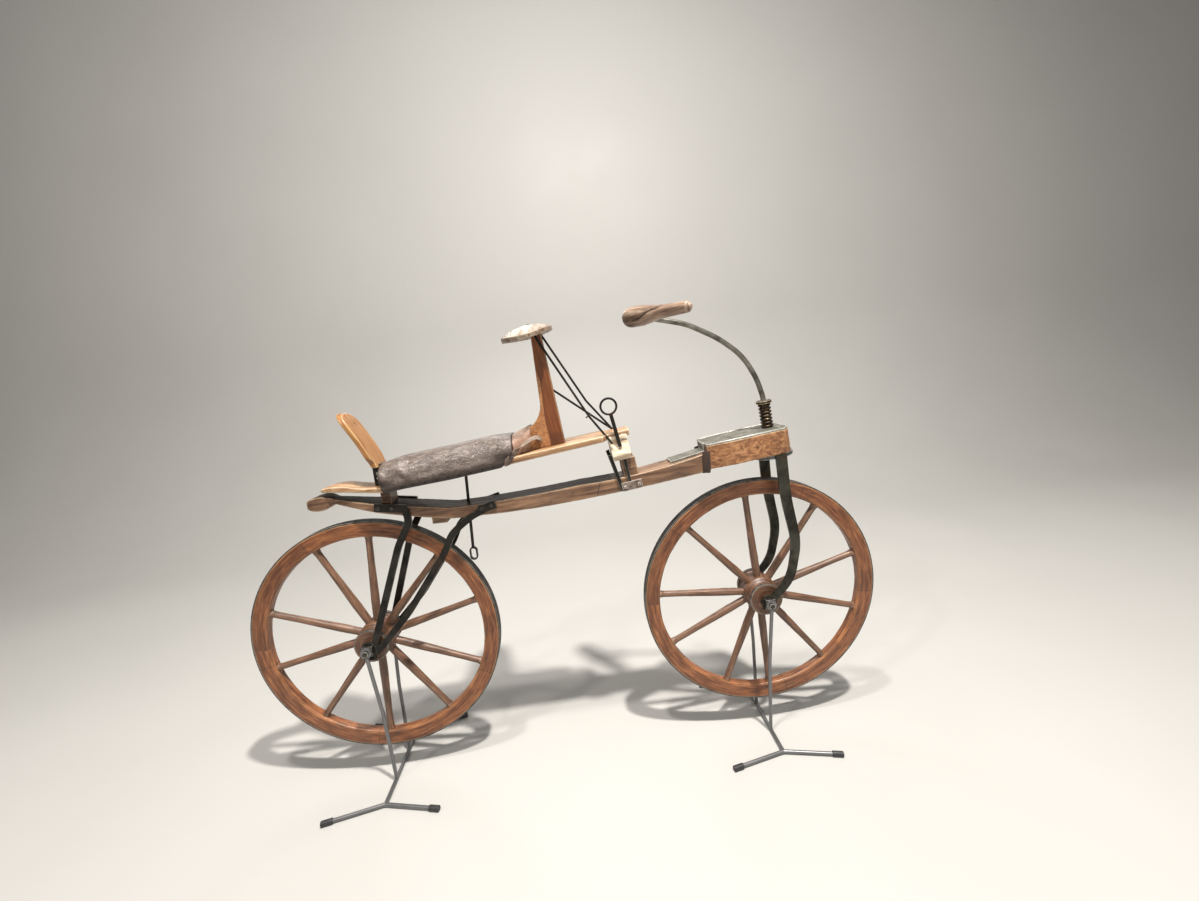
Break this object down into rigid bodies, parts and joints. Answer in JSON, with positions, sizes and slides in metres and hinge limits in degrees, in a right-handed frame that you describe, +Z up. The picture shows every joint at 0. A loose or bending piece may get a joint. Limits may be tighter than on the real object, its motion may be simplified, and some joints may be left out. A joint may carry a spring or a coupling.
{
  "type": "draisine running machine",
  "caption": "Wooden running machine with two iron-tyred wheels in line, padded seat, arm rest and tiller, held up by two thin steel display stands.",
  "frame": {"origin": "on the floor, halfway between the two wheels", "axes": "+X is forward, +Y is the rider's left, +Z is up"},
  "size_m": [1.8059, 0.3626, 1.281],
  "materials": {
    "perch_wood": "satin",
    "burl_wood": "satin",
    "light_wood": "satin",
    "felloe_wood": "satin",
    "spoke_wood": "satin",
    "leather": "worn, slightly shiny",
    "iron": "dull, dark",
    "tyre_iron": "dull, worn",
    "stand_steel": "satin dark grey",
    "cap_plastic": "matte black"
  },
  "bodies": {
    "root": {"perch": "perch_wood", "perch_lug": "perch_wood", "saddle_cuff": "leather", "head_block": "burl_wood", "head_plate": "iron", "head_plate_tail": "iron", "seat_plank": "light_wood", "saddle": "leather", "backrest": "light_wood", "backrest_clip": "iron", "arm_post": "felloe_wood", "arm_board": "felloe_wood", "arm_rods": "iron", "bracket_block": "felloe_wood", "bracket_risers": "light_wood", "bracket_links": "iron", "bracket_clamps": "iron", "ring_screw": "iron", "rear_seat_block": "felloe_wood", "seat_tie_rod": "iron", "stays_near": "iron", "stays_far": "iron", "rear_axle": "iron", "rear_axle_nuts": "iron", "rear_stand_frame": "stand_steel", "rear_stand_caps": "cap_plastic"},
    "steering": {"fork_crown": "iron", "fork_leg_near": "iron", "fork_leg_far": "iron", "steering_sleeve": "iron", "steering_collar": "iron", "tiller": "iron", "handle": "felloe_wood", "front_axle": "iron", "front_axle_nuts": "iron", "front_stand_frame": "stand_steel", "front_stand_caps": "cap_plastic"},
    "rear_wheel": {"rear_tyre": "tyre_iron", "rear_felloes": "felloe_wood", "rear_hub": "spoke_wood", "rear_hub_bands": "iron", "rear_spokes": "spoke_wood"},
    "front_wheel": {"front_tyre": "tyre_iron", "front_felloes": "felloe_wood", "front_hub": "spoke_wood", "front_hub_bands": "iron", "front_spokes": "spoke_wood"}
  },
  "joints": [
    {"name": "steering_turn", "type": "hinge", "parent": "root", "child": "steering", "pos_m": [0.6, 0, 0.915], "axis": [-0.1219, 0, 0.9925], "range_deg": [-35, 35]},
    {"name": "rear_wheel_spin", "type": "hinge", "parent": "root", "child": "rear_wheel", "pos_m": [-0.558, 0, 0.43], "axis": [0, 1, 0], "continuous": true},
    {"name": "front_wheel_spin", "type": "hinge", "parent": "steering", "child": "front_wheel", "pos_m": [0.558, 0, 0.43], "axis": [0, 1, 0], "continuous": true}
  ]
}
